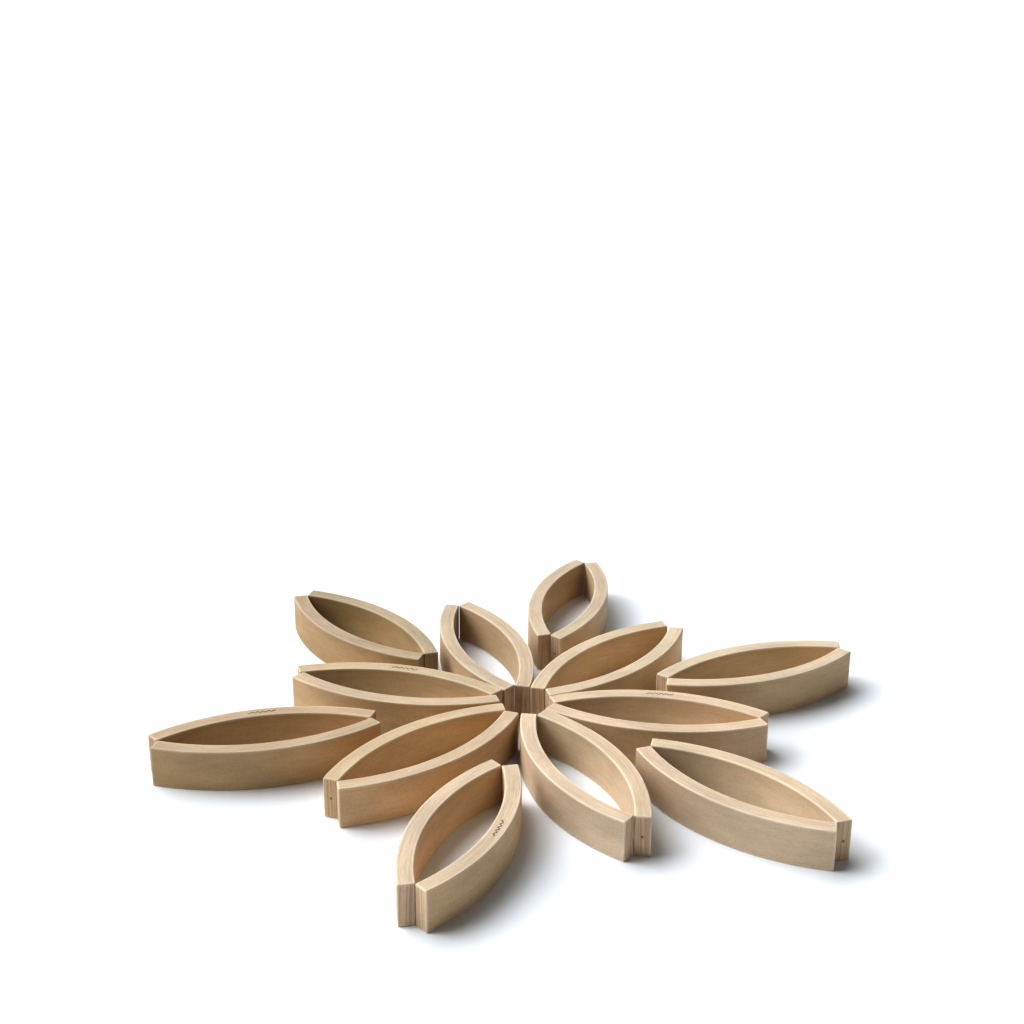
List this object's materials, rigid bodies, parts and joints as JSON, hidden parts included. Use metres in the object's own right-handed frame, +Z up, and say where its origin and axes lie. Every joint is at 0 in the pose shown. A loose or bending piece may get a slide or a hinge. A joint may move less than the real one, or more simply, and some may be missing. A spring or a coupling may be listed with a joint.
{
  "type": "curved wooden block set",
  "caption": "Loose curved wooden blocks, each a sixth of a ring with magnets sealed in its ends, laid in facing pairs that form the leaves of a flower.",
  "frame": {"origin": "middle of the laid-out set's footprint, on the table", "axes": "+Z up, away from the table; +X to the right and +Y away from a viewer in front; the leaf inner_1 points along about +X"},
  "size_m": [0.5172, 0.5128, 0.03],
  "materials": {
    "beech": "oiled, pale, fine straight grain, edges sanded round",
    "magnet": "nickel-plated rare-earth disc, sealed out of sight"
  },
  "bodies": {
    "inner_1_left": {"inner_1_left_block": "beech", "inner_1_left_magnets": "magnet"},
    "inner_1_right": {"inner_1_right_block": "beech", "inner_1_right_magnets": "magnet"},
    "inner_2_left": {"inner_2_left_block": "beech", "inner_2_left_magnets": "magnet"},
    "inner_2_right": {"inner_2_right_block": "beech", "inner_2_right_magnets": "magnet"},
    "inner_3_left": {"inner_3_left_block": "beech", "inner_3_left_magnets": "magnet"},
    "inner_3_right": {"inner_3_right_block": "beech", "inner_3_right_magnets": "magnet"},
    "inner_4_left": {"inner_4_left_block": "beech", "inner_4_left_magnets": "magnet"},
    "inner_4_right": {"inner_4_right_block": "beech", "inner_4_right_magnets": "magnet"},
    "inner_5_left": {"inner_5_left_block": "beech", "inner_5_left_magnets": "magnet"},
    "inner_5_right": {"inner_5_right_block": "beech", "inner_5_right_magnets": "magnet"},
    "inner_6_left": {"inner_6_left_block": "beech", "inner_6_left_magnets": "magnet"},
    "inner_6_right": {"inner_6_right_block": "beech", "inner_6_right_magnets": "magnet"},
    "outer_1_left": {"outer_1_left_block": "beech", "outer_1_left_magnets": "magnet"},
    "outer_1_right": {"outer_1_right_block": "beech", "outer_1_right_magnets": "magnet"},
    "outer_2_left": {"outer_2_left_block": "beech", "outer_2_left_magnets": "magnet"},
    "outer_2_right": {"outer_2_right_block": "beech", "outer_2_right_magnets": "magnet"},
    "outer_3_left": {"outer_3_left_block": "beech", "outer_3_left_magnets": "magnet"},
    "outer_3_right": {"outer_3_right_block": "beech", "outer_3_right_magnets": "magnet"},
    "outer_4_left": {"outer_4_left_block": "beech", "outer_4_left_magnets": "magnet"},
    "outer_4_right": {"outer_4_right_block": "beech", "outer_4_right_magnets": "magnet"},
    "outer_5_left": {"outer_5_left_block": "beech", "outer_5_left_magnets": "magnet"},
    "outer_5_right": {"outer_5_right_block": "beech", "outer_5_right_magnets": "magnet"},
    "outer_6_left": {"outer_6_left_block": "beech", "outer_6_left_magnets": "magnet"},
    "outer_6_right": {"outer_6_right_block": "beech", "outer_6_right_magnets": "magnet"}
  },
  "joints": [
    {"name": "lift_inner_1_right", "type": "slide", "parent": "inner_1_left", "child": "inner_1_right", "axis": [0, 0, 1], "range_m": [0, 0.06]},
    {"name": "lift_inner_2_left", "type": "slide", "parent": "inner_1_left", "child": "inner_2_left", "axis": [0, 0, 1], "range_m": [0, 0.06]},
    {"name": "lift_inner_2_right", "type": "slide", "parent": "inner_1_left", "child": "inner_2_right", "axis": [0, 0, 1], "range_m": [0, 0.06]},
    {"name": "lift_inner_3_left", "type": "slide", "parent": "inner_1_left", "child": "inner_3_left", "axis": [0, 0, 1], "range_m": [0, 0.06]},
    {"name": "lift_inner_3_right", "type": "slide", "parent": "inner_1_left", "child": "inner_3_right", "axis": [0, 0, 1], "range_m": [0, 0.06]},
    {"name": "lift_inner_4_left", "type": "slide", "parent": "inner_1_left", "child": "inner_4_left", "axis": [0, 0, 1], "range_m": [0, 0.06]},
    {"name": "lift_inner_4_right", "type": "slide", "parent": "inner_1_left", "child": "inner_4_right", "axis": [0, 0, 1], "range_m": [0, 0.06]},
    {"name": "lift_inner_5_left", "type": "slide", "parent": "inner_1_left", "child": "inner_5_left", "axis": [0, 0, 1], "range_m": [0, 0.06]},
    {"name": "lift_inner_5_right", "type": "slide", "parent": "inner_1_left", "child": "inner_5_right", "axis": [0, 0, 1], "range_m": [0, 0.06]},
    {"name": "lift_inner_6_left", "type": "slide", "parent": "inner_1_left", "child": "inner_6_left", "axis": [0, 0, 1], "range_m": [0, 0.06]},
    {"name": "lift_inner_6_right", "type": "slide", "parent": "inner_1_left", "child": "inner_6_right", "axis": [0, 0, 1], "range_m": [0, 0.06]},
    {"name": "lift_outer_1_left", "type": "slide", "parent": "inner_1_left", "child": "outer_1_left", "axis": [0, 0, 1], "range_m": [0, 0.06]},
    {"name": "lift_outer_1_right", "type": "slide", "parent": "inner_1_left", "child": "outer_1_right", "axis": [0, 0, 1], "range_m": [0, 0.06]},
    {"name": "lift_outer_2_left", "type": "slide", "parent": "inner_1_left", "child": "outer_2_left", "axis": [0, 0, 1], "range_m": [0, 0.06]},
    {"name": "lift_outer_2_right", "type": "slide", "parent": "inner_1_left", "child": "outer_2_right", "axis": [0, 0, 1], "range_m": [0, 0.06]},
    {"name": "lift_outer_3_left", "type": "slide", "parent": "inner_1_left", "child": "outer_3_left", "axis": [0, 0, 1], "range_m": [0, 0.06]},
    {"name": "lift_outer_3_right", "type": "slide", "parent": "inner_1_left", "child": "outer_3_right", "axis": [0, 0, 1], "range_m": [0, 0.06]},
    {"name": "lift_outer_4_left", "type": "slide", "parent": "inner_1_left", "child": "outer_4_left", "axis": [0, 0, 1], "range_m": [0, 0.06]},
    {"name": "lift_outer_4_right", "type": "slide", "parent": "inner_1_left", "child": "outer_4_right", "axis": [0, 0, 1], "range_m": [0, 0.06]},
    {"name": "lift_outer_5_left", "type": "slide", "parent": "inner_1_left", "child": "outer_5_left", "axis": [0, 0, 1], "range_m": [0, 0.06]},
    {"name": "lift_outer_5_right", "type": "slide", "parent": "inner_1_left", "child": "outer_5_right", "axis": [0, 0, 1], "range_m": [0, 0.06]},
    {"name": "lift_outer_6_left", "type": "slide", "parent": "inner_1_left", "child": "outer_6_left", "axis": [0, 0, 1], "range_m": [0, 0.06]},
    {"name": "lift_outer_6_right", "type": "slide", "parent": "inner_1_left", "child": "outer_6_right", "axis": [0, 0, 1], "range_m": [0, 0.06]}
  ]
}
